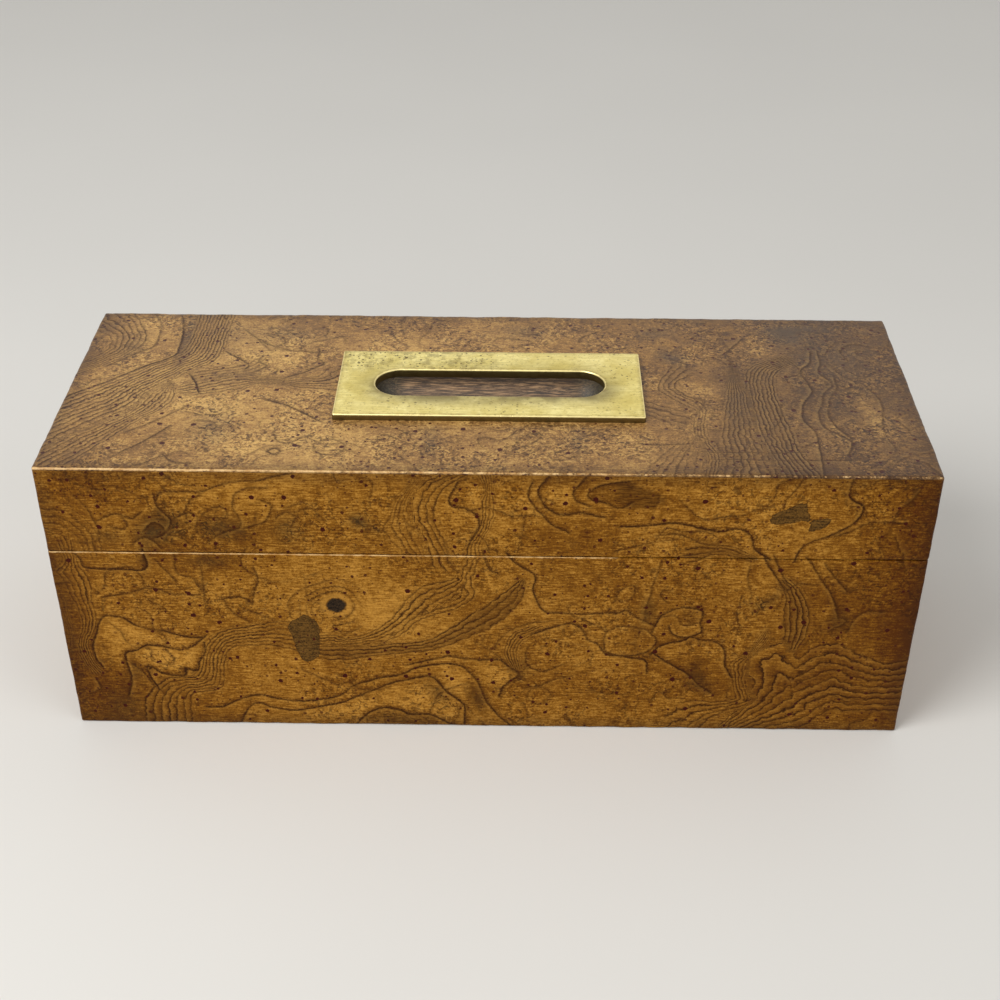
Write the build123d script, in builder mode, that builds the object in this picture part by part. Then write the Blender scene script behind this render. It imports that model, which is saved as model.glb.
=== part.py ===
from build123d import *
import math
import os

# A long veneered desk box with a shallow hinged lid and a flush brass finger pull.
#
# The carcase is two mitred frames of solid boards, one for the base and one for the lid, with a bottom board and
# a top board let into rabbets. Every outer face carries a sheet of veneer. The lid turns on two brass butt hinges
# whose knuckles lie in a bevelled groove along the back, and the two bevels meet to stop it just past upright. A
# round-nosed finger groove is cut in the top board under a slotted brass plate.
#
# Lengths are in millimetres. X is the box's length, the front faces -Y, and the box stands on Z = 0.

# The closed box
box_length = 305.0
box_depth = 111.0
box_height = 114.0
lid_height = 34.3
seam_gap = 0.4

# Boards, veneer and felt
veneer_thickness = 0.9
wall_thickness = 9.5
bottom_thickness = 6.0
top_thickness = 12.5
top_lap_thickness = 6.0
rabbet_width = 4.5
felt_thickness = 1.2
felt_proud = 0.4
felt_margin = 0.5
lining_thickness = 1.0
lining_margin = 0.4

# Eased edges of the veneer
corner_radius = 0.8
arris_chamfer = 0.4

# The brass pull plate, and the finger groove under it
plate_length = 110.0
plate_width = 45.6
plate_thickness = 3.2
plate_corner_radius = 0.8
plate_chamfer = 0.3
plate_fit = 0.1
slot_length = 83.0
slot_width = 18.4
slot_chamfer = 0.4
groove_overlap = 0.3
groove_depth = 8.0

# Butt hinges
hinge_setback = 55.0
hinge_inset = 2.4
knuckle_radius = 2.2
knuckle_count = 3
knuckle_gap = 0.15
leaf_length = 34.0
leaf_width = 7.0
leaf_thickness = 1.2
pin_radius = 1.1
fixed_pin_fit = 0.01
running_pin_fit = 0.05
mortise_fit = 0.1
hollow_fit = 0.3

# Countersunk hinge screws
screw_count = 2
screw_spacing = 20.0
screw_back = 4.7
screw_length = 10.0
screw_point_length = 1.5
shank_radius = 0.8
head_radius = 1.6
screw_slot_size = 0.35
screw_fit = 0.1

# The lid stops where the two bevels along the back meet
bevel_angle = 49.0

# Sizes that follow
core_length = box_length - 2 * veneer_thickness
core_depth = box_depth - 2 * veneer_thickness
inner_length = core_length - 2 * wall_thickness
inner_depth = core_depth - 2 * wall_thickness
lap_length = inner_length + 2 * rabbet_width
lap_depth = inner_depth + 2 * rabbet_width
core_top = box_height - veneer_thickness
lid_rim = box_height - lid_height
base_rim = lid_rim - seam_gap
bottom_top = felt_thickness + bottom_thickness
lap_underside = core_top - top_lap_thickness
top_underside = core_top - top_thickness
hinge_y = box_depth / 2 - hinge_inset
hinge_z = base_rim + seam_gap / 2
hinge_x = box_length / 2 - hinge_setback
knuckle_width = (leaf_length - (knuckle_count - 1) * knuckle_gap) / knuckle_count

# Each side's own X direction, which leaves its own Y pointing out of the box
side_directions = {"front": (-1, 0, 0), "back": (1, 0, 0), "left": (0, 1, 0), "right": (0, -1, 0)}
hinge_places = {"left": -hinge_x, "right": hinge_x}

os.makedirs("parts", exist_ok=True)


def save(piece, name):
    """Labels a finished piece and writes it as its own file."""
    piece.label = name
    export_step(piece, f"parts/{name}.step")


def side_plane(side, z):
    """A level plane at height z whose Y points out through a side."""
    return Plane(origin=(0, 0, z), x_dir=side_directions[side], z_dir=(0, 0, 1))


def side_reach(side):
    """Half the core's length along a side, and the distance from the box's middle to the core's face there."""
    if side in ("front", "back"):
        return core_length / 2, core_depth / 2
    return core_depth / 2, core_length / 2


def rim_plane(body, x):
    """A hinge's plane on the base's or the lid's rim, with Z pointing out of the wood and Y towards the back."""
    if body == "base":
        return Plane(origin=(x, hinge_y, base_rim), x_dir=(1, 0, 0), z_dir=(0, 0, 1))
    return Plane(origin=(x, hinge_y, lid_rim), x_dir=(-1, 0, 0), z_dir=(0, 0, -1))


def knuckle_x(index):
    """The middle of one knuckle along its hinge."""
    return (index - (knuckle_count - 1) / 2) * (knuckle_width + knuckle_gap)


# The V groove along the back, with its point on the hinge axis
bevel_reach = 2 * hinge_inset
bevel_rise = bevel_reach * math.tan(math.radians(bevel_angle))
with BuildPart() as stop_bevel:
    with BuildSketch(Plane.YZ):
        with BuildLine():
            Polyline(
                (hinge_y, hinge_z),
                (hinge_y + bevel_reach, hinge_z + bevel_rise),
                (hinge_y + bevel_reach, hinge_z - bevel_rise),
                close=True,
            )
        make_face()
    extrude(amount=box_length, both=True)


def hinge_mortises(body):
    """What is cut from a rim for both hinges: leaf pockets, knuckle hollows and screw pilots."""
    planes = [rim_plane(body, x) for x in hinge_places.values()]
    pocket_length = leaf_length + 2 * mortise_fit
    pocket_width = leaf_width + mortise_fit
    with BuildPart(*planes) as cutter:
        with Locations((0, -pocket_width / 2, -leaf_thickness / 2)):
            Box(pocket_length, pocket_width, leaf_thickness)
        with Locations((0, 0, seam_gap / 2)):
            Cylinder(knuckle_radius + hollow_fit, pocket_length, rotation=(0, 90, 0))
        with Locations((0, -screw_back, -screw_length / 2)):
            with GridLocations(screw_spacing, 0, screw_count, 1):
                Cylinder(shank_radius + screw_fit, screw_length + 2 * screw_fit)
    return cutter.part


def side_board(side, low, high, lap_low, lap_high, cutters):
    """One mitred board of a frame, from low to high, with a rabbet for a panel from lap_low to lap_high."""
    half, reach = side_reach(side)
    with BuildPart() as board:
        with BuildSketch(side_plane(side, low)):
            with BuildLine():
                Polyline(
                    (-half, reach),
                    (half, reach),
                    (half - wall_thickness, reach - wall_thickness),
                    (wall_thickness - half, reach - wall_thickness),
                    close=True,
                )
            make_face()
        extrude(amount=high - low)
        with BuildSketch(Plane.XY.offset(lap_low)):
            Rectangle(lap_length, lap_depth)
        extrude(amount=lap_high - lap_low, mode=Mode.SUBTRACT)
        for cutter in cutters:
            add(cutter, mode=Mode.SUBTRACT)
    return board.part


def side_veneer(side, low, high, cutters):
    """The sheet on one side. Front and back cover the end sheets' edges and have the box's eased corners."""
    half, reach = side_reach(side)
    covers_corners = side in ("front", "back")
    sheet_half = half + veneer_thickness if covers_corners else half
    with BuildPart() as sheet:
        with BuildSketch(side_plane(side, low)):
            with Locations((0, reach + veneer_thickness / 2)):
                Rectangle(2 * sheet_half, veneer_thickness)
        extrude(amount=high - low)
        if covers_corners:
            outward = Axis((0, 0, 0), side_plane(side, low).y_dir)
            outer_face = sheet.faces().sort_by(outward)[-1]
            fillet(outer_face.edges().filter_by(Axis.Z), radius=corner_radius)
        for cutter in cutters:
            add(cutter, mode=Mode.SUBTRACT)
    return sheet.part


# The base's and the lid's frames with their veneers
for body, low, high, lap_low, lap_high in (
    ("base", felt_proud, base_rim, felt_proud, bottom_top),
    ("lid", lid_rim, core_top, lap_underside, core_top),
):
    cutters = {
        "front": [],
        "back": [stop_bevel.part, hinge_mortises(body)],
        "left": [stop_bevel.part],
        "right": [stop_bevel.part],
    }
    for side in side_directions:
        save(side_board(side, low, high, lap_low, lap_high, cutters[side]), f"{body}_{side}_board")
        save(side_veneer(side, low, high, cutters[side]), f"{body}_{side}_veneer")

# Bottom board, let into the base from below
with BuildPart() as bottom_board:
    with BuildSketch(Plane.XY.offset(felt_thickness)):
        Rectangle(lap_length, lap_depth)
    extrude(amount=bottom_thickness)
save(bottom_board.part, "base_bottom_board")

# Felt under the box, which stands a little proud of the sides
with BuildPart() as underside_felt:
    with BuildSketch():
        Rectangle(lap_length - 2 * felt_margin, lap_depth - 2 * felt_margin)
    extrude(amount=felt_thickness)
save(underside_felt.part, "base_underside_felt")

# Felt on the inside floor
with BuildPart() as floor_lining:
    with BuildSketch(Plane.XY.offset(bottom_top)):
        Rectangle(inner_length - 2 * lining_margin, inner_depth - 2 * lining_margin)
    extrude(amount=lining_thickness)
save(floor_lining.part, "base_floor_lining")

# Top board: a lap in the rabbets, a thicker middle between the side boards, and the round-nosed finger groove
groove_width = slot_width + 2 * groove_overlap
groove_run = slot_length - slot_width
groove_radius = ((groove_width / 2) ** 2 + groove_depth**2) / (2 * groove_depth)
groove_axis_z = core_top - groove_depth + groove_radius
with BuildPart() as top_board:
    with BuildSketch(Plane.XY.offset(lap_underside)):
        Rectangle(lap_length, lap_depth)
    extrude(amount=top_lap_thickness)
    with BuildSketch(Plane.XY.offset(top_underside)):
        Rectangle(inner_length, inner_depth)
    extrude(amount=top_thickness - top_lap_thickness)
    with Locations((0, 0, groove_axis_z)):
        Cylinder(groove_radius, groove_run, rotation=(0, 90, 0), mode=Mode.SUBTRACT)
        with GridLocations(groove_run, 0, 2, 1):
            Sphere(groove_radius, mode=Mode.SUBTRACT)
save(top_board.part, "lid_top_board")

# Top veneer, cut out round the plate
with BuildPart() as top_veneer:
    with BuildSketch(Plane.XY.offset(core_top)):
        RectangleRounded(box_length, box_depth, corner_radius)
        RectangleRounded(
            plate_length + 2 * plate_fit,
            plate_width + 2 * plate_fit,
            plate_corner_radius + plate_fit,
            mode=Mode.SUBTRACT,
        )
    extrude(amount=veneer_thickness)
    chamfer(top_veneer.faces().sort_by(Axis.Z)[-1].outer_wire().edges(), length=arris_chamfer)
save(top_veneer.part, "lid_top_veneer")

# Felt under the lid
with BuildPart() as lid_lining:
    with BuildSketch(Plane.XY.offset(top_underside - lining_thickness)):
        Rectangle(inner_length - 2 * lining_margin, inner_depth - 2 * lining_margin)
    extrude(amount=lining_thickness)
save(lid_lining.part, "lid_lining")

# Pull plate, bedded on the top board, with its outer and slot edges broken
with BuildPart() as pull_plate:
    with BuildSketch(Plane.XY.offset(core_top)):
        RectangleRounded(plate_length, plate_width, plate_corner_radius)
        SlotOverall(slot_length, slot_width, mode=Mode.SUBTRACT)
    extrude(amount=plate_thickness)
    chamfer(pull_plate.faces().sort_by(Axis.Z)[-1].outer_wire().edges(), length=plate_chamfer)
    chamfer(pull_plate.faces().sort_by(Axis.Z)[-1].inner_wires()[0].edges(), length=slot_chamfer)
save(pull_plate.part, "pull_plate")


def hinge_leaf(body, x):
    """One leaf with its own knuckles, cleared round the other leaf's, bored for the pin and countersunk."""
    first_knuckle = 0 if body == "base" else 1
    own_places = [(knuckle_x(index), 0, seam_gap / 2) for index in range(first_knuckle, knuckle_count, 2)]
    other_places = [(knuckle_x(index), 0, seam_gap / 2) for index in range(1 - first_knuckle, knuckle_count, 2)]
    clearance_radius = knuckle_radius + knuckle_gap
    clearance_width = knuckle_width + 2 * knuckle_gap
    bore_fit = fixed_pin_fit if body == "base" else running_pin_fit
    with BuildPart(rim_plane(body, x)) as leaf:
        with Locations((0, -leaf_width / 2, -leaf_thickness / 2)):
            Box(leaf_length, leaf_width, leaf_thickness)
        with Locations(*own_places):
            Cylinder(knuckle_radius, knuckle_width, rotation=(0, 90, 0))
        with Locations(*other_places):
            Cylinder(clearance_radius, clearance_width, rotation=(0, 90, 0), mode=Mode.SUBTRACT)
        with Locations((0, 0, seam_gap / 2)):
            Cylinder(pin_radius + bore_fit, leaf_length, rotation=(0, 90, 0), mode=Mode.SUBTRACT)
        with Locations((0, -screw_back, 0)):
            with GridLocations(screw_spacing, 0, screw_count, 1):
                CounterSinkHole(shank_radius + screw_fit, head_radius + screw_fit, counter_sink_angle=90)
    return leaf.part


def hinge_pin(x):
    """The pin through both leaves' knuckles."""
    with BuildPart(Plane(origin=(x, hinge_y, hinge_z), x_dir=(0, 1, 0), z_dir=(1, 0, 0))) as pin:
        Cylinder(pin_radius, leaf_length)
    return pin.part


# One slotted countersunk screw, head uppermost, with its head's top at the origin
with BuildPart() as hinge_screw:
    with BuildSketch(Plane.XZ):
        with BuildLine():
            Polyline(
                (0, 0),
                (head_radius, 0),
                (shank_radius, shank_radius - head_radius),
                (shank_radius, screw_point_length - screw_length),
                (0, -screw_length),
                close=True,
            )
        make_face()
    revolve(axis=Axis.Z)
    with Locations((0, 0, -screw_slot_size / 2)):
        Box(2 * head_radius, screw_slot_size, screw_slot_size, mode=Mode.SUBTRACT)


def hinge_screws(body):
    """All the screws of one body's two leaves."""
    planes = [rim_plane(body, x) for x in hinge_places.values()]
    with BuildPart(*planes) as screws:
        with Locations((0, -screw_back, 0)):
            with GridLocations(screw_spacing, 0, screw_count, 1):
                add(hinge_screw.part)
    return screws.part


for side, x in hinge_places.items():
    save(hinge_leaf("base", x), f"{side}_hinge_base_leaf")
    save(hinge_leaf("lid", x), f"{side}_hinge_lid_leaf")
    save(hinge_pin(x), f"{side}_hinge_pin")
save(hinge_screws("base"), "base_hinge_screws")
save(hinge_screws("lid"), "lid_hinge_screws")
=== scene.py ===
"""Dresses the long veneered desk box: figured burl sheets with worn edges, an aged brass pull plate, dark
mahogany boards, brass hinges and felt, on a plain pale floor.

Places and sizes are named in millimetres and turned into metres where they are used. X is the box's length and
its front faces -Y.
"""

import math
import random

import bmesh
import bpy
import numpy as np
from mathutils import Matrix, Vector, noise


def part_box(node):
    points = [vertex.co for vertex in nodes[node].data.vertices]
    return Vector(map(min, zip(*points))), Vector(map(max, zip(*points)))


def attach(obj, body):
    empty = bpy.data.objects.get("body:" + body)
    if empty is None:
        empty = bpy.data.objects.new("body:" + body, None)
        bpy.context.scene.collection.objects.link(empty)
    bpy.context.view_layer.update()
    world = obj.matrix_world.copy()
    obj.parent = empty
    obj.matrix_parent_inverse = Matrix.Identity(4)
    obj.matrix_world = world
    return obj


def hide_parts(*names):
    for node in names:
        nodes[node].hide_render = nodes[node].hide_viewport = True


MM = 0.001
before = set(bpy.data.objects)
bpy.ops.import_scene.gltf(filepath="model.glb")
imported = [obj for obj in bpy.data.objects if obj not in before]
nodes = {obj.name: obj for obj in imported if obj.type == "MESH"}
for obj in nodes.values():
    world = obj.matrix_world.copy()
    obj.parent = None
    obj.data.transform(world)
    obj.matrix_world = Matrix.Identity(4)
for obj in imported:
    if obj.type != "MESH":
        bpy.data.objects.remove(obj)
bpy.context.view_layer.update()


def box_mm(node):
    """A node's lowest and highest corners in millimetres."""
    low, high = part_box(node)
    return low / MM, high / MM


# The box's own sizes, read from the frame
top_high = box_mm("lid_top_veneer")[1]
plate_high = box_mm("pull_plate")[1]
HALF_LENGTH = top_high.x
HALF_DEPTH = top_high.y
HEIGHT = top_high.z
BASE_RIM = box_mm("base_front_veneer")[1].z
LID_RIM = box_mm("lid_front_veneer")[0].z
SLOT_LENGTH = 83.0
SLOT_WIDTH = 18.4

# The camera, solved from the box's corners in the photograph
CAMERA_PLACE = (9.8, -485.7, 399.9)
CAMERA_DOWN = 34.6
CAMERA_TURN = 0.71
CAMERA_ROLL = 0.22
CAMERA_LENS = 55.82

# How finely the sheets are divided, and how deep the veneer's arrises are worn
FINE_CELL = 1.5
COARSE_CELL = 2.4
FELT_CELL = 3.0
ARRIS_ROWS = (0.35, 1.0)
WEAR_DEPTH = 0.22
WEAR_REACH = 0.9

# The burl's figure: its single lines lie in layers, clear of each other, and its faint ones follow random hills
SINGLE_LAYERS = 3
SINGLE_GAP = 5.0
WIDEST_RINGS = 3.2
LARGE_HILLS = 34.0
SMALL_HILLS = 11.0

# Distances past the reach of every mark, and past every place on a face
FAR = 50.0
UNREACHED = 1e6


def srgb(red, green, blue):
    """A colour from 0 to 255 as linear red, green, blue and alpha."""
    channels = [value / 255 for value in (red, green, blue)]
    linear = [c / 12.92 if c <= 0.04045 else ((c + 0.055) / 1.055) ** 2.4 for c in channels]
    return (*linear, 1.0)


# Materials


def arithmetic(operation, turned=False):
    """A method that puts a node for an operation on two wires or numbers."""

    def method(self, other):
        return self.shade.math(operation, *((other, self) if turned else (self, other)))

    return method


class Wire:
    """A node's output. Sums and products of wires and numbers are more nodes."""

    def __init__(self, shade, socket):
        self.shade = shade
        self.socket = socket

    __add__ = __radd__ = arithmetic("ADD")
    __mul__ = __rmul__ = arithmetic("MULTIPLY")
    __sub__ = arithmetic("SUBTRACT")
    __rsub__ = arithmetic("SUBTRACT", turned=True)
    __truediv__ = arithmetic("DIVIDE")
    __rtruediv__ = arithmetic("DIVIDE", turned=True)

    def __abs__(self):
        return self.shade.math("ABSOLUTE", self)


class Shade:
    """One material's nodes, built by short calls that each give back the new node's output as a wire."""

    def __init__(self, name, **constants):
        self.material = bpy.data.materials.new(name)
        self.material.use_nodes = True
        self.tree = self.material.node_tree
        self.shader = self.tree.nodes["Principled BSDF"]
        self.set(**constants)
        place_m = self.put("ShaderNodeTexCoord", {}, "Object")
        self.place = self.put("ShaderNodeVectorMath", {0: place_m, "Scale": 1 / MM}, operation="SCALE")

    def put(self, kind, inputs, output=0, **settings):
        node = self.tree.nodes.new(kind)
        for setting, value in settings.items():
            setattr(node, setting, value)
        for socket, value in inputs.items():
            self.feed(node.inputs[socket], value)
        return Wire(self, node.outputs[output])

    def feed(self, socket, value):
        if isinstance(value, Wire):
            self.tree.links.new(value.socket, socket)
        else:
            socket.default_value = value

    def set(self, **sockets):
        for socket, value in sockets.items():
            self.feed(self.shader.inputs[socket.replace("_", " ")], value)

    def split(self, value, kind="XYZ"):
        """The three parts of a place, or of a colour."""
        node = self.put(f"ShaderNodeSeparate{kind}", {0: value}).socket.node
        return [Wire(self, part) for part in node.outputs]

    def math(self, operation, *values, clamp=False):
        return self.put("ShaderNodeMath", dict(enumerate(values)), operation=operation, use_clamp=clamp)

    def most(self, first, *others):
        for other in others:
            first = self.math("MAXIMUM", first, other)
        return first

    def vector(self, operation, first, second):
        return self.put("ShaderNodeVectorMath", {0: first, 1: second}, operation=operation)

    def step(self, value, low, high, start=0.0, end=1.0):
        inputs = {0: value, 1: low, 2: high, 3: start, 4: end}
        return self.put("ShaderNodeMapRange", inputs, interpolation_type="SMOOTHSTEP")

    def mix(self, factor, first, second):
        return self.put("ShaderNodeMix", {0: factor, 6: first, 7: second}, 2, data_type="RGBA")

    def noise(self, scale, detail=2.0, roughness=0.5, distortion=0.0, stretch=None, shift=0.0, where=None):
        spot = self.vector("ADD", self.place if where is None else where, (shift, shift, shift))
        if stretch is not None:
            spot = self.vector("MULTIPLY", spot, stretch)
        inputs = {"Vector": spot, "Scale": scale, "Detail": detail, "Roughness": roughness, "Distortion": distortion}
        return self.put("ShaderNodeTexNoise", inputs)

    def attribute(self, name, output="Fac"):
        return self.put("ShaderNodeAttribute", {}, output, attribute_name=name)

    def specks(self, spacing, radius, share, where=None):
        """Small ragged spots in some of the cells of a grid. Sizes are in millimetres.

        They are spread in the plane of where, or in space if it isn't given.
        """
        reach = radius / spacing
        cells = self.put(
            "ShaderNodeTexVoronoi",
            {"Vector": self.place if where is None else where, "Scale": 1 / spacing},
            "Distance",
            voronoi_dimensions="3D" if where is None else "2D",
        )
        chance, growth, _ = self.split(Wire(self, cells.socket.node.outputs["Color"]), "Color")
        size = (growth + 1.0) * (0.5 * reach)
        ragged = (self.noise(1.4, 2) - 0.5) * reach
        spot = self.step(cells + ragged - size, -0.15 * reach, 0.15 * reach, 1.0, 0.0)
        return spot * self.math("LESS_THAN", chance, share)

    def bump(self, height_mm):
        self.set(Normal=self.put("ShaderNodeBump", {"Height": height_mm * MM, "Strength": 1.0, "Distance": 1.0}))


def marks(shade, up, down, seen):
    """A growth line's dark core, the shade above it and the pale strip below it, from distances in millimetres."""
    above = shade.math("EXPONENT", up * up * -2.6)
    below = shade.math("EXPONENT", down * down * -5.0)
    fade = shade.math("EXPONENT", up * -0.8)
    rim = shade.math("EXPONENT", down * -1.1) * (1.0 - below)
    return [mark * seen for mark in (shade.most(above, below), fade, rim)]


def ring_marks(shade, phase, pace, seen):
    """Marks wherever a phase passes a whole number; the pace is how fast it changes for each millimetre."""
    ring = shade.math("FLOOR", phase)
    part = phase - ring
    pace = shade.most(pace, 0.02)
    draw = shade.put("ShaderNodeTexWhiteNoise", {"W": ring}, noise_dimensions="1D")
    spacing = shade.math("MINIMUM", 1.0 / pace, WIDEST_RINGS)
    crowded = pace * (spacing * 0.22 + 0.25)
    return marks(shade, part / crowded, (1.0 - part) / crowded, seen * (draw * 0.5 + 0.6))


def burl_material(
    name, dark, middle, light, line, stain, flecks, cloudy, curls, busy, brushed, relief, strips, gloss, haze
):
    """Burl veneer. The sheets carry the figure that it draws, in millimetres or as shares from 0 to 1."""
    shade = Shade(name, Specular_IOR_Level=gloss, Coat_Weight=haze, Coat_Roughness=0.28)
    coarse = shade.noise(0.12, 2, 0.5) * 2.6 - 1.3
    shiver = coarse + (shade.noise(0.75, 3, 0.75, shift=31) * 1.7 - 0.85)
    along = shade.step(shade.noise(0.08, 2, 0.5, shift=60), 0.3, 0.55, 0.65, 1.0)

    # The lines: faint wandering ones, sheaves, and single ones
    somewhere = shade.step(shade.noise(0.045, 2, 0.5, shift=19), 0.42, 0.62)
    pace = shade.attribute("pace")
    phase = shiver * pace + shade.attribute("growth")
    drawn = [ring_marks(shade, phase, pace, shade.attribute("growth_seen") * somewhere)]
    pace = shade.attribute("sheaf_pace")
    crowding = shade.noise(0.3, 2, 0.5, shift=52) * 1.1 - 0.55
    phase = shiver * 0.6 * pace + shade.attribute("sheaf") + crowding
    drawn.append(ring_marks(shade, phase, pace, shade.attribute("sheaf_seen") * along))
    for layer in range(SINGLE_LAYERS):
        gap = shiver * 0.6 + shade.attribute(f"single_{layer}")
        up = shade.math("LESS_THAN", gap, 0.0) * FAR + abs(gap)
        down = shade.math("GREATER_THAN", gap, 0.0) * FAR + abs(gap)
        drawn.append(marks(shade, up, down, shade.attribute(f"single_{layer}_seen") * along))
    core, fade, rim = (shade.most(*kind) for kind in zip(*drawn))
    pores = shade.step(shade.noise(1.7, 2, 0.6, shift=7), 0.34, 0.58, 0.6, 1.0)
    core = shade.math("MULTIPLY", core, pores, clamp=True)

    # The ground between the lines
    flat = shade.attribute("flat", "Vector")
    cloud = shade.step(shade.noise(0.03, 3, 0.55, 0.6, shift=17), 0.3, 0.7)
    mottle = shade.step(shade.noise(0.13, 5, 0.6, 2.2, shift=5), 0.32, 0.7)
    curly = shade.step(shade.noise(0.05, 2, shift=23), 0.46 - 0.1 * curls, 0.62 - 0.1 * curls, 0.2, 1.0)
    curly = curly * (1.0 - shade.attribute("sheaf_seen")) + shade.attribute("stain") * 1.2
    curl = shade.step(shade.noise(0.36, 3, 0.65, 2.2, shift=66), 0.36, 0.64) - 0.5
    grain = shade.noise(1.5, 2, 0.8, 0.4, shift=70)
    strokes = shade.noise(1.0, 3, 0.7, stretch=(0.22, 1.7, 1.0), where=flat)
    island = shade.step(shiver * 0.8 + shade.attribute("island"), -0.5, 3.0)
    tone = mottle * (0.35 * cloudy) + cloud * (0.3 * cloudy) + curl * curls * curly
    tone = tone + grain * busy + (0.52 - 0.32 * cloudy - 0.5 * busy) + (strokes * brushed - 0.5 * brushed)
    tone = tone + shade.attribute("tint") + island * 0.26
    ground = shade.mix(tone * 1.6 + 0.15, dark, middle)
    ground = shade.mix(tone * 1.7 - 0.75, ground, light)
    worm = abs(shade.noise(0.3, 1, 0.4, 1.6, shift=81) - 0.5)
    broken = shade.step(shade.noise(0.6, 1, shift=28), 0.46, 0.58)
    worm_line = shade.step(worm, 0.02, 0.12, 0.6 * curls + 0.4, 0.0) * broken
    ground = shade.mix(worm_line * curly, ground, line)
    ground = shade.mix(shade.attribute("stain") * (grain * 1.2 + 0.3), ground, stain)

    # Shaded shapes, lines, let-in patches and knots
    filled = shade.mix(shade.step(strokes, 0.36, 0.6) * 0.55, line, shade.mix(0.5, dark, middle))
    colour = shade.mix(shade.attribute("fill"), ground, filled)
    colour = shade.mix(fade * shade.step(grain, 0.35, 0.65, 0.95, 0.4), colour, shade.mix(0.25, dark, line))
    colour = shade.mix(rim * strips, colour, light)
    colour = shade.mix(core * relief, colour, line)
    ragged = shade.noise(0.8, 3, 0.6, shift=40) * 1.4 - 0.7
    patch_depth = shade.attribute("patch") + ragged
    patch_colour = shade.mix(strokes * 3.0 + (grain * 3.0 - 2.5), srgb(56, 36, 10), srgb(114, 80, 32))
    patch_colour = shade.mix(shade.step(patch_depth, 0.0, 0.6, 0.5, 1.0), line, patch_colour)
    colour = shade.mix(shade.step(patch_depth, -0.1, 0.15), colour, patch_colour)
    knot_depth = ragged * 1.1 + shade.attribute("knot")
    halo = shade.step(knot_depth, -3.0, -0.9) * shade.step(knot_depth, -0.6, 0.0, 0.5, 0.0)
    colour = shade.mix(halo, colour, light)
    knot_colour = shade.mix(shade.step(grain, 0.3, 0.7), srgb(16, 10, 6), srgb(62, 46, 30))
    colour = shade.mix(shade.step(knot_depth, -0.5, 0.5), colour, knot_colour)

    # Pin knots and bark specks, most of them tiny
    many = shade.step(shade.noise(0.03, 2, shift=90), 0.35, 0.6, 0.35, 1.0)
    tiny = shade.specks(2.4, 0.36, 0.16 * flecks, flat) * many * 0.8
    small = shade.specks(6.5, 0.66, 0.28 * flecks, flat) * many
    speck = shade.most(tiny, small, shade.specks(13.0, 0.95, 0.6, flat))
    colour = shade.mix(speck, colour, srgb(62, 17, 6))

    # Darker towards the outer arrises, partly grime and partly painted shade such as the contact shadow along the
    # bottom, and pale wear on the arrises
    edge_darkening = shade.step(coarse * 1.5 + shade.attribute("edge"), 0.0, 8.0, 0.42, 0.0)
    colour = shade.mix(edge_darkening, colour, srgb(50, 28, 14))
    ragged_wear = shade.noise(0.5, 4, 0.75, shift=12) - 0.5
    wear = shade.step(shade.attribute("rub") + ragged_wear, -0.12, 0.12, 1.0, 0.0)
    colour = shade.mix(wear * 0.9, colour, shade.mix(mottle, srgb(186, 138, 78), srgb(236, 198, 140)))

    shade.set(Base_Color=colour, Roughness=core * 0.15 + (mottle * 0.1 + 0.36))
    waves = shade.noise(0.07, 2) * 0.08
    scratches = shade.noise(1.5, 2, 0.7, stretch=(0.1, 1.5, 1.5), shift=77) * 0.012
    shade.bump(core * -0.01 + speck * -0.06 + (waves + scratches))
    return shade.material


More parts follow.
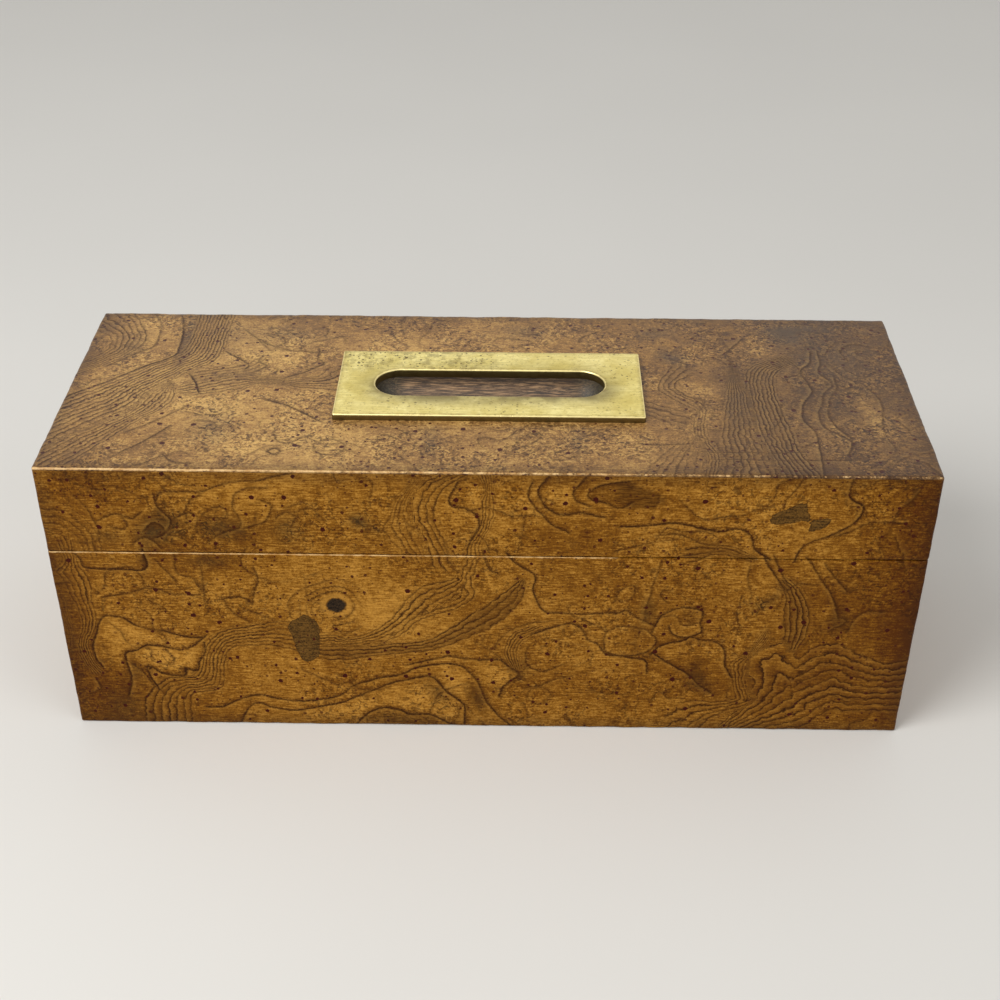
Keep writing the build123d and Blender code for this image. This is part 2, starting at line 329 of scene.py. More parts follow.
def brass_plate_material():
    """Aged plate brass with pits, tarnish, fine scratches, and pale arrises that are partly rubbed brass and partly a
    painted highlight.
    """
    shade = Shade("aged_plate_brass", Metallic=1.0)
    x, y, z = shade.split(shade.place)
    from_outside = shade.math("MINIMUM", plate_high.x - abs(x), plate_high.y - abs(y))
    past_run = shade.most(abs(x) - (SLOT_LENGTH - SLOT_WIDTH) / 2, 0.0)
    from_slot = shade.math("SQRT", past_run * past_run + y * y) - SLOT_WIDTH / 2
    edge = shade.math("MINIMUM", from_outside, from_slot)

    cloud = shade.step(shade.noise(0.05, 4, 0.65, 0.8), 0.32, 0.68)
    mottle = shade.step(shade.noise(0.5, 4, 0.7, shift=9), 0.3, 0.72)
    colour = shade.mix(cloud, srgb(222, 204, 120), srgb(254, 240, 166))
    colour = shade.mix(mottle * 0.35, colour, srgb(196, 176, 102))
    scratches = shade.noise(1.6, 3, 0.7, stretch=(0.08, 2.2, 2.2), shift=15)
    colour = shade.mix(shade.step(scratches, 0.4, 0.65, 0.0, 0.45), colour, srgb(182, 164, 94))
    flat = shade.vector("ADD", shade.place, (0.0, 400.0, 0.0))
    back_left = shade.step(y, 5.0, 13.0) * shade.step(x, 12.0, -8.0)
    pitted = shade.most(back_left, shade.step(shade.noise(0.05, 2, shift=44), 0.42, 0.7, 0.1, 0.7))
    pits = shade.most(shade.specks(1.9, 0.4, 0.4, flat), shade.specks(4.5, 0.6, 0.35, flat)) * pitted
    tarnish = shade.step(shade.noise(0.9, 4, 0.75, shift=21), 0.55, 0.75)
    colour = shade.mix(tarnish * 0.6, colour, srgb(116, 88, 44))
    smudge = back_left * shade.step(shade.noise(0.22, 4, 0.7, shift=61), 0.45, 0.62)
    colour = shade.mix(smudge * 0.5, colour, srgb(110, 92, 50))
    colour = shade.mix(pits * 0.85, colour, srgb(58, 40, 20))
    unevenly = shade.step(shade.noise(0.06, 3, 0.6, shift=71), 0.35, 0.6, 0.3, 0.9)
    in_front = shade.step(y, 6.0, -8.0, 0.3, 1.0) * unevenly
    colour = shade.mix(shade.step(from_slot, 10.0, 0.5) * in_front, colour, srgb(126, 112, 66))
    edge_darkening = shade.step(mottle * 1.2 + edge, 0.2, 2.4, 0.6, 0.0)
    colour = shade.mix(edge_darkening, colour, srgb(128, 104, 54))
    # A pale line along the plate's arrises: rubbed brass, and a painted highlight on their rounding.
    rubbed_edge_highlight = shade.step(mottle * -0.25 + edge, 0.1, 0.55, 1.0, 0.0)
    colour = shade.mix(rubbed_edge_highlight * 0.75, colour, srgb(240, 224, 160))
    # The plate's sides and slot walls, below its top face, are darkened: partly their tarnish and partly painted
    # shade.
    side_tarnish_and_shade = shade.step(z, plate_high.z - 0.75, plate_high.z - 0.15, 1.0, 0.0)
    colour = shade.mix(side_tarnish_and_shade * 0.85, colour, srgb(92, 74, 34))
    shade.set(Base_Color=colour, Roughness=tarnish * 0.2 + (mottle * 0.12 + (scratches * 0.12 + 0.3)))
    waves = shade.noise(0.12, 2, shift=2) * 0.06
    shade.bump(tarnish * -0.01 + (waves + (pits * -0.06 + scratches * 0.012)))
    return shade.material


def hinge_brass_material():
    """Plain cast brass, dulled in its hollows."""
    shade = Shade("hinge_brass", Metallic=1.0)
    mottle = shade.step(shade.noise(0.6, 4, 0.7), 0.3, 0.7)
    stain = shade.step(shade.noise(0.25, 3, 0.6, shift=30), 0.5, 0.72)
    colour = shade.mix(mottle, srgb(176, 146, 78), srgb(212, 184, 112))
    colour = shade.mix(stain * 0.6, colour, srgb(112, 84, 44))
    shade.set(Base_Color=colour, Roughness=mottle * 0.15 + 0.3)
    shade.bump(shade.noise(3.0, 2, 0.7, stretch=(0.15, 1.5, 1.5), shift=4) * 0.01)
    return shade.material


def mahogany_material(name, stretch):
    """Dark-stained solid wood whose grain runs the way that the stretch is smallest."""
    shade = Shade(name, Coat_Weight=0.08, Coat_Roughness=0.35)
    bands = shade.noise(0.5, 4, 0.6, 0.6, stretch=stretch)
    streaks = shade.noise(1.4, 3, 0.7, stretch=stretch, shift=11)
    pores = shade.step(shade.noise(3.2, 2, 0.6, stretch=stretch, shift=25), 0.57, 0.66)
    colour = shade.mix(shade.step(bands, 0.3, 0.7), srgb(62, 32, 20), srgb(112, 62, 38))
    colour = shade.mix(shade.step(streaks, 0.35, 0.7, 0.0, 0.45), colour, srgb(134, 80, 52))
    colour = shade.mix(pores * 0.6, colour, srgb(34, 16, 10))
    shade.set(Base_Color=colour, Roughness=streaks * 0.2 + 0.4)
    shade.bump(pores * -0.04 + streaks * 0.02)
    return shade.material


def groove_wood_material():
    """The top board's wood: worn along the finger groove, with painted shade outside a band on the groove's flanks,
    and mottled where its ends show end grain.
    """
    shade = Shade("groove_mahogany", Coat_Weight=0.05, Coat_Roughness=0.4)
    x, y, _ = shade.split(shade.place)
    lengthwise = (0.07, 1.5, 1.5)
    bands = shade.noise(0.7, 4, 0.7, 0.3, stretch=lengthwise)
    streaks = shade.noise(2.2, 3, 0.7, stretch=lengthwise, shift=13)
    dark_streaks = shade.noise(1.2, 3, 0.7, stretch=lengthwise, shift=50)
    colour = shade.mix(shade.step(bands, 0.3, 0.68), srgb(31, 21, 12), srgb(98, 71, 46))
    colour = shade.mix(shade.step(streaks, 0.46, 0.62, 0.0, 0.9), colour, srgb(180, 143, 102))
    colour = shade.mix(shade.step(dark_streaks, 0.55, 0.7), colour, srgb(40, 27, 18))
    # Outside a band on the groove's flanks the wood is painted dark: painted shade in the groove's bottom and under
    # its rims. The band stands for finger-worn, lit wood.
    worn_lit_band = shade.step(abs(y), 5.0, 7.3) * shade.step(abs(y), 9.5, 8.3)
    colour = shade.mix(worn_lit_band * -0.7 + 0.7, colour, srgb(30, 21, 14))
    speckle = shade.step(shade.noise(1.1, 4, 0.8, shift=33), 0.35, 0.7)
    end_grain = shade.mix(speckle, srgb(26, 22, 15), srgb(82, 76, 54))
    colour = shade.mix(shade.step(abs(x), 28.0, 38.0) * 0.8, colour, end_grain)
    shade.set(Base_Color=colour, Roughness=streaks * 0.2 + 0.42)
    shade.bump(streaks * 0.05 + speckle * 0.04)
    return shade.material


def felt_material():
    """Dense dark green wool felt."""
    shade = Shade("green_felt", Roughness=0.95, Sheen_Weight=0.35, Sheen_Roughness=0.5)
    fuzz = shade.noise(2.2, 4, 0.8, 0.8)
    clumps = shade.noise(0.25, 4, 0.7, shift=8)
    colour = shade.mix(shade.step(fuzz, 0.3, 0.7), srgb(20, 40, 28), srgb(52, 84, 60))
    colour = shade.mix(shade.step(clumps, 0.35, 0.7, 0.0, 0.4), colour, srgb(70, 96, 70))
    colour = shade.mix(shade.specks(9.0, 0.25, 0.35) * 0.6, colour, srgb(150, 160, 140))
    shade.set(Base_Color=colour)
    shade.bump(fuzz * 0.18 + clumps * 0.1)
    return shade.material


# The burl's figure, drawn for each face in its own level and upright directions, in millimetres


def smooth(value, low=0.0, high=1.0):
    """0 at the low value and 1 at the high one, with soft ends."""
    share = np.clip((value - low) / (high - low), 0, 1)
    return share * share * (3 - 2 * share)


def elliptic(u, v, place, half_length, half_width, turn=0):
    """How far points lie from an ellipse's middle, as a share of its radius. The turn is in degrees."""
    along, aside = math.cos(math.radians(turn)), math.sin(math.radians(turn))
    du, dv = u - place[0], v - place[1]
    return np.hypot((du * along + dv * aside) / half_length, (dv * along - du * aside) / half_width)


def smooth_curve(points, steps=5):
    """Points along a smooth curve through the given ones."""
    points = [np.array(point, float) for point in points]
    ends = [points[0], *points, points[-1]]
    curve = []
    for a, b, c, d in zip(ends, ends[1:], ends[2:], ends[3:]):
        bend = 2 * a - 5 * b + 4 * c - d
        swing = 3 * b - a - 3 * c + d
        for t in np.linspace(0, 1, steps, endpoint=False):
            curve.append(0.5 * (2 * b + (c - a) * t + bend * t**2 + swing * t**3))
    curve.append(points[-1])
    return np.array(curve)


def from_line(spots, line):
    """How far points lie from a line through many places, and how far to its left, with its ends carried on."""
    nearest = np.full(len(spots), UNREACHED)
    aside = np.zeros(len(spots))
    for start, step in zip(line, np.diff(line, axis=0)):
        length = np.hypot(*step)
        if length < 0.01:
            continue
        way = step / length
        offset = spots - start
        along = offset @ way
        left = offset[:, 1] * way[0] - offset[:, 0] * way[1]
        gap = np.hypot(left, along - np.clip(along, 0, length))
        closer = gap < nearest
        nearest[closer] = gap[closer]
        aside[closer] = left[closer]
    return nearest, aside


def depth_inside(spots, corners):
    """How far points lie inside a closed outline, or less than 0 outside it."""
    outline = np.array([*corners, corners[0]], float)
    gap = from_line(spots, outline)[0]
    inside = np.zeros(len(spots), bool)
    for (ax, ay), (bx, by) in zip(outline, outline[1:]):
        if ay == by:
            continue
        crossing = (spots[:, 1] > min(ay, by)) & (spots[:, 1] <= max(ay, by))
        inside ^= crossing & (spots[:, 0] < ax + (spots[:, 1] - ay) * (bx - ax) / (by - ay))
    return np.where(inside, gap, -gap)


def between(spots, low, high):
    """Where points lie across a sheaf, from 0 at one side to 1 at the other, its width, and their depth in it."""
    low, high = smooth_curve(low), smooth_curve(high)
    gap_low, aside_low = from_line(spots, low)
    gap_high, aside_high = from_line(spots, high)
    widest, facing = from_line(high, low)
    aside_low = aside_low * np.sign(facing.mean())
    aside_high = aside_high * np.sign(from_line(low, high)[1].mean())
    width = np.maximum(aside_low + aside_high, 0.8)
    past_low = np.sqrt(np.maximum(gap_low**2 - aside_low**2, 0))
    past_high = np.sqrt(np.maximum(gap_high**2 - aside_high**2, 0))
    depth = np.minimum(aside_low, aside_high) - np.minimum(past_low, past_high)
    depth = np.minimum(depth, widest.max() + 1 - np.maximum(gap_low, gap_high))
    return aside_low / width, width, depth


class Figure:
    """What one face shows.

    sheaves are (lines, strength, fill, side, other side), singles (strength, points), islands and patches
    outlines, shades (amount, outline), knots and hills (..., place, half length, half width, turn), and tints
    and stains (amount, place, half length, half width, turn).
    """

    def __init__(self, seed, wild, wild_seen, **shapes):
        self.seed = seed
        self.wild = wild
        self.wild_seen = wild_seen
        for kind in ("sheaves", "singles", "islands", "patches", "shades", "knots", "hills", "tints", "stains"):
            setattr(self, kind, shapes.get(kind, ()))

    def fields(self, u, v):
        """What the sheets' material reads, by name."""
        spots = np.stack([u, v], axis=1)
        nudge = 0.5
        growth = self.growth(u, v)
        rise_u = (self.growth(u + nudge, v) - growth) / nudge
        rise_v = (self.growth(u, v + nudge) - growth) / nudge
        return {
            "flat": np.stack([u + 500 * self.seed, v, np.zeros_like(u)], axis=1),
            "growth": growth,
            "pace": np.hypot(rise_u, rise_v),
            "growth_seen": np.full_like(u, self.wild_seen),
            "tint": self.blended(u, v, self.tints),
            "stain": self.blended(u, v, self.stains),
            "island": self.deepest(spots, self.islands),
            "patch": self.deepest(spots, self.patches),
            "knot": self.knot_depth(u, v),
            **self.sheaf_fields(spots),
            **self.single_fields(spots),
        }

    def growth(self, u, v):
        """Low random hills and the figure's own ones, whose contours are the faint lines."""
        large = [noise.noise((a / LARGE_HILLS, b / LARGE_HILLS, self.seed)) for a, b in zip(u, v)]
        small = [noise.noise((a / SMALL_HILLS, b / SMALL_HILLS, self.seed + 50)) for a, b in zip(u, v)]
        total = self.wild * (1.5 * np.array(large) + 0.55 * np.array(small))
        for rings, *ellipse in self.hills:
            total = total + rings * np.exp(-elliptic(u, v, *ellipse) ** 2)
        return total

    def blended(self, u, v, shapes):
        return sum((amount * np.exp(-elliptic(u, v, *shape) ** 2) for amount, *shape in shapes), np.zeros_like(u))

    def deepest(self, spots, outlines):
        return np.max([np.full(len(spots), -FAR), *(depth_inside(spots, outline) for outline in outlines)], axis=0)

    def knot_depth(self, u, v):
        depths = [(1 - elliptic(u, v, *knot)) * min(knot[1:3]) for knot in self.knots]
        return np.max([np.full_like(u, -FAR), *depths], axis=0)

    def sheaf_fields(self, spots):
        phase, pace, seen, fill = (np.zeros(len(spots)) for _ in range(4))
        pace += 0.1
        deepest = np.full(len(spots), -UNREACHED)
        for lines, strength, dark, low, high in self.sheaves:
            share, width, depth = between(spots, low, high)
            chosen = depth > deepest
            deepest[chosen] = depth[chosen]
            phase[chosen] = (share * lines)[chosen]
            pace[chosen] = (lines / width)[chosen]
            seen[chosen] = (strength * smooth(depth, -1.8, -0.2))[chosen]
            fill[chosen] = (dark * smooth(depth, -0.6, 0.6))[chosen]
        for amount, outline in self.shades:
            fill = np.maximum(fill, amount * smooth(depth_inside(spots, outline), -0.4, 0.5))
        return {"sheaf": phase, "sheaf_pace": pace, "sheaf_seen": seen, "fill": fill}

    def single_fields(self, spots):
        """The single lines, in layers in which none comes near another."""
        layers = [[] for _ in range(SINGLE_LAYERS)]
        for strength, points in self.singles:
            line = smooth_curve(points)
            clear = [all(from_line(line, other)[0].min() > SINGLE_GAP for _, other in layer) for layer in layers]
            layers[clear.index(True) if any(clear) else -1].append((strength, line))
        fields = {}
        for index, layer in enumerate(layers):
            aside = np.full(len(spots), FAR)
            seen = np.zeros(len(spots))
            nearest = np.full(len(spots), UNREACHED)
            for strength, line in layer:
                gap, left = from_line(spots, line)
                chosen = gap < nearest
                nearest[chosen] = gap[chosen]
                aside[chosen] = left[chosen]
                seen[chosen] = (strength * smooth(gap, 2.6, 1.4))[chosen]
            fields[f"single_{index}"] = aside
            fields[f"single_{index}_seen"] = seen
        return fields


FRONT_FIGURE = Figure(
    seed=3, wild=1.3, wild_seen=0.7,
    sheaves=[
        (4, 1.0, 0,  # Left sheaf
         [(-148, 82.5), (-147, 75), (-150.5, 71), (-149, 67.5), (-147.5, 61.5), (-146.5, 56.5), (-145, 51),
          (-145, 46.5), (-147, 41), (-148, 36.5), (-147, 30), (-145, 25.5)],
         [(-142.5, 82.5), (-142.5, 75), (-140, 67), (-140, 61), (-140, 50), (-141, 45), (-143.5, 40), (-144.5, 36.5),
          (-143.5, 30), (-141.5, 26.5)]),
        (3, 0.5, 0,  # Far left
         [(-153.5, 58.5), (-152, 51), (-151.5, 44), (-153, 38)],
         [(-150, 59.5), (-149.5, 51), (-149, 44), (-150, 38)]),
        (6, 1.0, 0.08,  # Main
         [(-110.5, 1), (-110, 11), (-108.5, 15), (-103.5, 16), (-99, 16.5), (-97, 20), (-96.5, 24), (-95.5, 30),
          (-94, 35), (-91, 37.5), (-85, 38), (-75.5, 38), (-70, 36.5)],
         [(-127.5, 1), (-127, 10), (-124, 15.5), (-120, 20), (-115.5, 22.5), (-109.5, 22.5), (-106.5, 23), (-104, 27),
          (-102.5, 34), (-99.5, 40), (-95.5, 44), (-87, 46.5), (-75.5, 49), (-71, 49)]),
        (4, 1.0, 0.1,  # Right of patch
         [(-60, 38), (-48.5, 38.5), (-46.5, 38.5), (-38, 41), (-31, 45), (-25.5, 49.5)],
         [(-60, 43), (-52.5, 43), (-53.5, 42), (-48, 42.5), (-41, 45), (-35, 50), (-30.5, 56.5), (-26.5, 62),
          (-22, 66), (-15.5, 68), (-11, 70)]),
        (2, 0.9, 0,  # Hook
         [(-38, 40), (-31, 44), (-25.5, 49.5), (-19.5, 53), (-13.5, 55), (-8, 58.5), (-4, 62.5), (-5.5, 66.5),
          (-5.5, 70), (-3.5, 75), (-4, 79.5)],
         [(-33.5, 45.5), (-28, 51), (-22.5, 55), (-16.5, 58), (-11, 60), (-9, 62.5), (-10.5, 65), (-9, 69.5),
          (-7.5, 75), (-6, 79.5)]),
        (3, 1.0, 0.55,  # Dark band
         [(-60, 32.5), (-56.5, 32), (-49, 32), (-41, 34), (-33.5, 35), (-25.5, 36), (-19.5, 37), (-13.5, 39.5),
          (-7.5, 43), (-1, 46.5), (5, 51), (9.5, 56.5), (12.5, 61.5), (13.5, 67)],
         [(-60, 38), (-56.5, 38), (-45, 38), (-37.5, 39), (-29.5, 40), (-20.5, 41.5), (-15, 45.5), (-6.5, 52.5),
          (1, 58.5), (7.5, 64.5), (11.5, 69)]),
        (8, 1.0, 0,  # Fan
         [(112.5, 1), (119, 3), (123.5, 8), (127.5, 11), (132, 9.5), (139.5, 10.5), (152.5, 10)],
         [(86.5, 1), (92.5, 10), (96.5, 16.5), (97.5, 24), (94.5, 28.5), (95, 35), (100.5, 40), (108, 42), (112, 35),
          (116, 38.5), (123.5, 42), (132.5, 38), (143.5, 33), (152.5, 35)]),
        (4, 0.8, 0,  # Fan left
         [(97.5, 16.5), (94.5, 23), (94.5, 30), (95, 35), (99.5, 41), (101, 46.5)],
         [(91, 18), (89, 26.5), (88.5, 33), (93.5, 36.5), (96.5, 41.5), (99, 48)]),
        (4, 0.9, 0,  # Fan foot
         [(80.5, 2.5), (83.5, 6.5), (91, 9), (99, 12.5), (103.5, 18.5)],
         [(72, 13), (76, 14), (83.5, 13.5), (91, 15), (97.5, 18)]),
        (4, 0.9, 0,  # Blob side
         [(11.5, 30), (10.5, 35), (11, 38.5), (13.5, 42.5), (18, 45.5)],
         [(9, 28.5), (6.5, 35), (7, 40), (9.5, 45), (14.5, 48)]),
        (4, 1.0, 0.5,  # Right leaf
         [(106.5, 38), (106, 47), (105, 57), (104.5, 64), (102, 68.5)],
         [(111, 38.5), (114, 47), (114, 55), (112, 61.5), (109, 67), (105, 71)]),
        (4, 0.6, 0,  # Lid left
         [(-153.5, 88.5), (-148, 88.5), (-144, 85.5), (-142.5, 81)],
         [(-153.5, 101), (-148, 100), (-142.5, 99.5), (-138, 94), (-134.5, 88), (-133.5, 81)]),
        (3, 0.9, 0,  # Lid middle
         [(-11, 80), (-15, 86.5), (-16.5, 91), (-18, 95.5), (-17.5, 100), (-15.5, 105.5), (-12, 109.5),
          (-7.5, 112.5)],
         [(-19.5, 80), (-21.5, 88), (-24, 93), (-25.5, 98.5), (-24.5, 104), (-21, 109.5), (-16.5, 112.5)]),
        (4, 0.55, 0,  # Lid middle left
         [(-21.5, 80), (-23.5, 88), (-25.5, 93), (-27, 98.5), (-25.5, 105), (-22.5, 110)],
         [(-29.5, 81), (-33.5, 88), (-35, 91.5), (-32.5, 96.5), (-30.5, 102.5), (-25.5, 109.5)]),
        (3, 1.0, 0,  # Lid middle right
         [(-2.5, 80), (-2.5, 84), (-0.5, 89.5), (1.5, 95), (2.5, 100), (1.5, 106.5), (1.5, 112.5)],
         [(-7, 80), (-6, 84), (-3.5, 89.5), (-1.5, 95), (-1.5, 101), (-0.5, 106.5), (-1.5, 112.5)]),
        (3, 1.0, 0.4,  # Lid foot
         [(76, 80), (80.5, 81.5), (86.5, 80)],
         [(72.5, 86), (78, 85), (84.5, 84.5), (92.5, 80)]),
    ],
    singles=[
        (1.0, [(-144.5, 79.5), (-141.5, 76.5), (-141, 73.5), (-139, 72.5), (-129.5, 72), (-119.5, 72), (-119, 79.5)]),
        (0.8, [(-135, 59.5), (-129.5, 61), (-125, 62), (-121, 63.5), (-116.5, 63.5), (-111.5, 61.5), (-107, 61),
               (-103.5, 61)]),
        (0.7, [(-114.5, 75), (-112, 71.5), (-110, 68)]), (0.5, [(-100, 71.5), (-99.5, 65), (-100, 58.5)]),
        (1.0, [(-141, 28), (-142.5, 31.5), (-142.5, 38), (-140, 44), (-138, 49.5), (-135, 51), (-130, 50),
               (-126.5, 47), (-121.5, 45), (-115.5, 44), (-109.5, 42), (-103.5, 41.5)]),
        (1.0, [(-132.5, 15), (-130.5, 22.5), (-131.5, 28.5), (-131.5, 34), (-127, 35), (-123.5, 37.5), (-118.5, 37.5),
               (-115, 36.5), (-111, 35.5), (-107, 37), (-102.5, 41)]),
        (1.0, [(-121.5, 18), (-123.5, 23), (-124, 28), (-121.5, 26), (-119.5, 24.5), (-114, 23.5), (-110.5, 23.5),
               (-110.5, 27), (-107, 25.5), (-105.5, 26.5), (-105, 30), (-102.5, 34), (-102, 38)]),
        (0.7, [(-93.5, 59), (-88.5, 60), (-85.5, 59), (-83, 57), (-82, 63), (-80, 68), (-81, 72.5)]),
        (0.55, [(-93.5, 59), (-91, 54), (-86.5, 50)]), (0.4, [(-64, 68.5), (-63, 59.5), (-58.5, 58)]),
        (1.0, [(-103.5, 8), (-98.5, 8.5), (-94, 11), (-88.5, 13.5), (-83.5, 14), (-75.5, 12), (-68, 11.5),
               (-60, 12.5), (-53.5, 15), (-49, 19.5), (-39.5, 23), (-32, 25), (-23.5, 29), (-16.5, 30.5), (-10.5, 30),
               (-7.5, 28), (-4, 23), (-2, 18), (-1, 15), (2, 8.5), (7.5, 1.5)]),
        (1.0, [(-91.5, 1.5), (-88.5, 8), (-85, 10), (-79.5, 8), (-71.5, 7), (-64, 8), (-56.5, 10), (-53.5, 11),
               (-46.5, 15), (-39.5, 18.5), (-33.5, 21.5), (-25.5, 23.5), (-20.5, 24), (-17.5, 21), (-14, 16),
               (-10.5, 12.5), (-8.5, 9.5), (-8.5, 2.5)]),
        (1.0, [(-48, 1.5), (-45, 5.5), (-41, 8), (-37.5, 8.5), (-32.5, 7.5), (-29.5, 5.5), (-22, 5.5), (-18, 4),
               (-14.5, 1.5)]),
        (0.9, [(-27.5, 30), (-18, 33), (-13.5, 34), (-7.5, 33), (-2.5, 32.5), (4.5, 32.5), (7.5, 30), (11.5, 26),
               (9, 23), (5.5, 19.5), (4.5, 16.5)]),
        (0.5, [(-2.5, 40), (4.5, 34), (9, 28), (11, 26.5)]),
        (1.0, [(17.5, 45.5), (23.5, 48), (30.5, 49.5), (34.5, 46.5), (36, 42.5), (39.5, 40.5), (42.5, 36), (46, 35),
               (48, 35), (53.5, 34), (57, 33), (58, 29)]),
        (0.9, [(7.5, 79.5), (11, 75.5), (16.5, 71), (16, 66.5), (16.5, 62.5), (18.5, 58), (21, 55), (26.5, 54.5),
               (32.5, 54), (39.5, 54.5), (46.5, 55), (49.5, 56.5), (53.5, 53), (58, 50)]),
        (0.7, [(-1, 79.5), (0.5, 74), (3, 72)]), (0.5, [(2.5, 38), (5, 42.5), (9.5, 47), (16, 50), (23.5, 51)]),
        (0.45, [(16, 18.5), (19.5, 19.5), (22.5, 18), (23, 15), (21, 12), (17, 12.5), (15, 15.5), (16, 18.5)]),
        (0.8, [(42.5, 38), (42.5, 45.5), (46.5, 48.5), (52, 49), (57, 47), (60.5, 43), (60, 40), (57.5, 37),
               (52.5, 35.5), (47.5, 35.5), (42.5, 37)]),
        (0.9, [(59.5, 48), (61, 51.5), (62.5, 54.5), (66, 56.5), (70.5, 57.5), (75, 57), (76.5, 55), (75.5, 51),
               (76.5, 47), (73.5, 45), (69.5, 44.5), (66.5, 46), (65.5, 48)]),
        (0.7, [(62, 53), (66, 54), (68, 53), (69, 50), (72, 49.5), (74, 50)]),
        (1.0, [(60, 37), (62, 40), (66, 41.5), (70.5, 42.5), (73.5, 44.5), (76.5, 43), (81, 42.5), (84.5, 40),
               (85.5, 36.5), (86, 31.5), (89, 26.5)]),
        (1.0, [(60, 36.5), (64.5, 32.5), (69.5, 29.5), (74.5, 25.5), (77.5, 21.5), (81.5, 18.5)]),
        (0.6, [(71.5, 18), (72, 21), (76, 21.5), (80.5, 18.5)]),
        (0.5, [(60, 76.5), (58.5, 70), (57.5, 64), (56.5, 58.5), (56, 53)]),
        (0.9, [(96, 79.5), (100, 72.5), (104, 66.5)]), (0.7, [(99.5, 79.5), (102.5, 73), (105, 68.5)]),
        (0.6, [(91, 75), (91, 69.5), (92.5, 64), (92.5, 61)]),
        (0.8, [(111, 79.5), (116, 71.5), (119.5, 66.5), (122.5, 61), (124.5, 55)]),
        (0.7, [(117.5, 76.5), (120.5, 72.5), (125, 67)]), (0.5, [(129, 49.5), (130.5, 54), (134.5, 57), (139, 57)]),
        (0.8, [(-143.5, 20), (-142.5, 17), (-144, 15.5)]),
        (0.75, [(-112.5, 102.5), (-112, 99), (-109.5, 95.5), (-108, 93), (-109.5, 89.5)]),
        (0.7, [(-132.5, 93), (-126.5, 95.5), (-121.5, 93.5), (-119, 95)]),
        (0.6, [(-139, 102.5), (-136, 98), (-134, 91.5), (-133.5, 88.5)]),
        (0.8, [(-111.5, 102.5), (-109.5, 105), (-102.5, 105), (-95.5, 105.5), (-91, 107.5), (-83.5, 109.5),
               (-77, 110), (-71.5, 111.5), (-65, 113)]),
        (0.6, [(-75.5, 107), (-81.5, 106.5), (-85.5, 104), (-86.5, 100)]),
        (0.55, [(-95.5, 84.5), (-92.5, 87), (-88.5, 89), (-85, 90), (-84, 93), (-85.5, 97)]),
        (0.6, [(-75.5, 101.5), (-73, 100), (-74, 96.5), (-76.5, 92.5), (-81.5, 91)]),
        (0.6, [(-108.5, 87), (-105, 85.5), (-103, 83.5)]), (0.5, [(-64, 97.5), (-60, 98.5), (-57, 95.5)]),
        (0.9, [(-10, 109.5), (-12.5, 105), (-12.5, 101.5), (-11, 100), (-7.5, 99.5), (-3.5, 96.5), (-2.5, 91.5),
               (-5.5, 87), (-6.5, 84)]),
        (0.9, [(21, 113), (17.5, 108), (18, 104), (20.5, 100), (24, 97.5), (28, 97.5), (32, 98), (39, 96.5)]),
        (0.8, [(15, 109.5), (14, 105), (16, 101), (19.5, 96.5), (22.5, 93), (27, 90.5)]),
        (0.8, [(33.5, 113), (29.5, 107), (30, 103), (33.5, 101)]),
        (0.9, [(46.5, 111), (41, 110), (36.5, 108.5), (34, 105.5), (36, 103), (40.5, 102.5), (44.5, 100),
               (47.5, 101.5)]),
        (0.5, [(9, 98), (13.5, 99.5), (17.5, 100)]), (0.4, [(13, 96.5), (12, 91), (10.5, 83)]),
        (1.0, [(46.5, 92.5), (53.5, 93), (60.5, 94), (66.5, 94), (72, 92.5), (76, 91.5), (80.5, 91), (85, 92),
               (89, 91), (91, 88), (92, 83.5), (96.5, 80)]),
        (0.7, [(59, 89), (65, 89.5), (69.5, 88), (72.5, 86.5)]),
        (0.5, [(45, 82), (52.5, 84.5), (59, 86.5), (63.5, 87)]),
        (1.0, [(122, 113), (121.5, 106.5), (123.5, 104), (126.5, 102.5), (127, 99.5), (125, 95.5), (121, 92.5),
               (116.5, 89.5), (111, 87), (108, 85), (106.5, 80)]),
        (0.8, [(141, 95.5), (134.5, 95.5), (129.5, 95), (126, 93), (120.5, 90.5)]),
        (0.5, [(144.5, 108), (142.5, 104), (139, 101), (138, 96.5)]),
        (0.8, [(-113, 86.5), (-110.5, 88), (-111.5, 91), (-114.5, 92), (-116.5, 90)]),
        (0.7, [(-104.5, 95), (-101.5, 96.5), (-99, 94.5), (-99.5, 91.5)]),
        (0.7, [(-121, 84), (-118.5, 86), (-115.5, 85), (-113.5, 82.5)]),
        (0.6, [(-128.5, 90), (-125, 89), (-123, 91), (-124, 93.5)]),
        (0.6, [(-94, 97.5), (-91, 99), (-88.5, 97), (-90, 94.5), (-93, 95)]),
        (0.6, [(-71, 95), (-68.5, 97), (-65.5, 95.5), (-66.5, 92.5)]),
        (0.5, [(-136.5, 107), (-131, 105.5), (-126, 107), (-121, 105)]),
    ],
    islands=[
        [(-141, 30), (-142, 38), (-140, 44), (-137.5, 49), (-135, 50), (-130, 49), (-126.5, 46.5), (-121.5, 44.5),
         (-109.5, 41.5), (-104, 41), (-107, 37), (-111, 35.5), (-118.5, 37.5), (-123.5, 37.5), (-127, 35.5),
         (-131.5, 34), (-131.5, 28.5), (-131, 25.5), (-135.5, 24)],
        [(-131.5, 33.5), (-127, 35), (-123.5, 37), (-118.5, 37), (-111, 35), (-107, 36.5), (-102.5, 40), (-103.5, 35),
         (-105.5, 28.5), (-107, 26.5), (-110.5, 27), (-111, 24), (-119.5, 25), (-124, 28), (-128, 28.5)],
        [(-79.5, 2.5), (-72, 4), (-62.5, 8), (-52, 11), (-46.5, 14.5), (-39.5, 18), (-33.5, 21), (-25.5, 22.5),
         (-21, 22.5), (-17.5, 15), (-11, 11), (-9.5, 2.5), (-15, 2.5), (-22, 6), (-29.5, 6), (-37.5, 9), (-45, 6),
         (-49, 2.5)],
